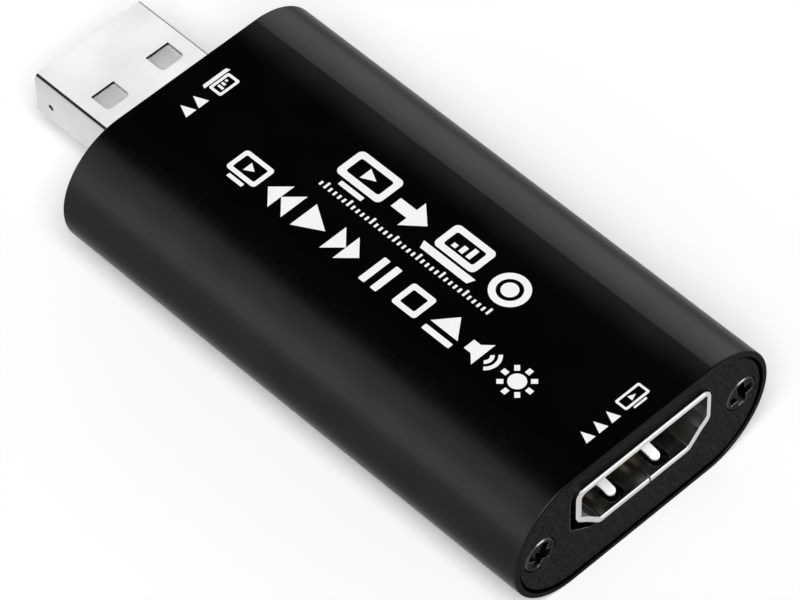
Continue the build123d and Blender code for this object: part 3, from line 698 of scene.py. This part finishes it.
def socket_mark():
    """At the socket's end: a screen, and three wedges that point into the box."""
    along = 23.6
    shape = place(screen(2.7, 1.6, 0.22), along, 1.2, 1)
    for y in (-1.3, -2.7, -4.1):
        shape += place(peak(0, 1.0, 1.15), along, y, 1)
    return shape


def make_print():
    """All printed pieces."""
    white = ink()
    for name, shape in (("print_signal_row", signal_row()), ("print_time_ticks", tick_row()),
                        ("print_control_row", control_row()), ("print_plug_mark", plug_mark()),
                        ("print_socket_mark", socket_mark())):
        print_piece(name, shape, white)


# Stage: floor, sky and lamps

# How far the floor goes each way and how far it lies under the box, in metres, and its glow
FLOOR_REACH = 4.0
FLOOR_DROP = 0.01 * MM
FLOOR_GLOW = 0.07

# The sky's pale band ends at the first of these heights and is dim from the second, in degrees
BAND_TOP = 14
DIM_FROM = 44
DIM_SKY = 0.03

# Light level: a sun of this strength, square to a surface, shows its colour as written
PLAIN = math.pi
KEY_ELEVATION = math.radians(56)


def make_floor():
    """A plain white floor under the box, which the camera and mirrors see a little whiter."""
    corners = [(x * FLOOR_REACH, y * FLOOR_REACH, -FLOOR_DROP)
               for x, y in ((-1, -1), (1, -1), (1, 1), (-1, 1))]
    mesh = bpy.data.meshes.new("floor")
    mesh.from_pydata(corners, [], [(0, 1, 2, 3)])
    material, tree, shader = start("white_floor")
    paper = mix(tree, spots(tree, 40.0), grey(0.985), grey(1.0))
    tree.links.new(paper, shader.inputs["Base Color"])
    shader.inputs["Roughness"].default_value = 0.9
    shader.inputs["Specular IOR Level"].default_value = 0.0
    rays = add(tree, "ShaderNodeLightPath").outputs
    seen = math_node(tree, "MAXIMUM", rays["Is Camera Ray"], rays["Is Glossy Ray"])
    seen = math_node(tree, "MAXIMUM", seen, rays["Is Transmission Ray"])
    shader.inputs["Emission Color"].default_value = grey(1.0)
    tree.links.new(math_node(tree, "MULTIPLY", seen, FLOOR_GLOW), shader.inputs["Emission Strength"])
    mesh.materials.append(material)
    floor = bpy.data.objects.new("floor", mesh)
    bpy.context.scene.collection.objects.link(floor)


def make_sky():
    """A pale band round the horizon that dims overhead."""
    world = bpy.data.worlds.new("sky")
    world.use_nodes = True
    bpy.context.scene.world = world
    tree = world.node_tree
    direction = add(tree, "ShaderNodeTexCoord").outputs["Generated"]
    height = add(tree, "ShaderNodeSeparateXYZ", {"Vector": direction}).outputs["Z"]
    low, high = (math.sin(math.radians(angle)) for angle in (BAND_TOP, DIM_FROM))
    level = ramp(tree, height, low, high, 1.0, DIM_SKY, "SMOOTHSTEP")
    tree.nodes["Background"].inputs["Color"].default_value = grey(1.0)
    tree.links.new(level, tree.nodes["Background"].inputs["Strength"])


def make_soft_box(name, direction, half_angle, brightness):
    """A round soft box far away: its direction, half its spread in degrees, and its radiance."""
    data = bpy.data.lights.new(name, "SUN")
    data.energy = PLAIN * brightness * math.sin(math.radians(half_angle)) ** 2
    data.angle = math.radians(2 * half_angle)
    lamp = bpy.data.objects.new(name, data)
    lamp.rotation_mode = "QUATERNION"
    lamp.rotation_quaternion = Vector(direction).to_track_quat("Z", "Y")
    bpy.context.scene.collection.objects.link(lamp)
    return lamp


def collect(name, wanted, left_out=()):
    """A collection of the nodes whose names begin as wanted, but not as those left out."""
    group = bpy.data.collections.new(name)
    for node, piece in frame["nodes"].items():
        if node.startswith(wanted) and not node.startswith(left_out):
            group.objects.link(piece)
    return group


def make_lamps():
    """A key lamp over the camera, soft boxes beside the dark parts, and cards for bright metal."""
    make_soft_box("key", polar(AZIMUTH, KEY_ELEVATION), half_angle=20, brightness=7.5)
    sheet = ("plug_shell", "socket_shell")
    dark_parts = collect("dark_parts", "", sheet + (SPRING_NODES,))
    shells = collect("bright_shells", sheet)
    # Each lamp's name, direction, half its spread, brightness and the only nodes it lights
    for name, direction, half_angle, brightness, lit in (
            ("near_side", (-0.46, -0.75, 0.47), 34, 1.15, dark_parts),
            ("far_side", (-0.46, 0.82, 0.33), 24, 2.3, dark_parts),
            ("metal_card", (-0.46, 0.5, 0.73), 32, 1.37, shells),
            ("lip_card", (0.77, 0.435, 0.46), 25, 1.2, collect("socket_lip", "socket_shell")),
            ("screw_card", (0.76, 0.435, 0.45), 20, 12.0, collect("screws", "socket_end_screws"))):
        box = make_soft_box(name, direction, half_angle, brightness)
        box.light_linking.receiver_collection = lit
    # Only the plug, past the housing, may shade the springs' card, so it reaches into the mouth
    springs = make_soft_box("spring_card", (-0.1, 0.43, 0.9), half_angle=35, brightness=4.0)
    springs.light_linking.receiver_collection = collect("springs", SPRING_NODES)
    springs.light_linking.blocker_collection = collect("past_the_housing", "plug_shell")


make_camera()
dress()
make_print()
make_floor()
make_sky()
make_lamps()
bpy.context.scene.view_settings.view_transform = "Standard"
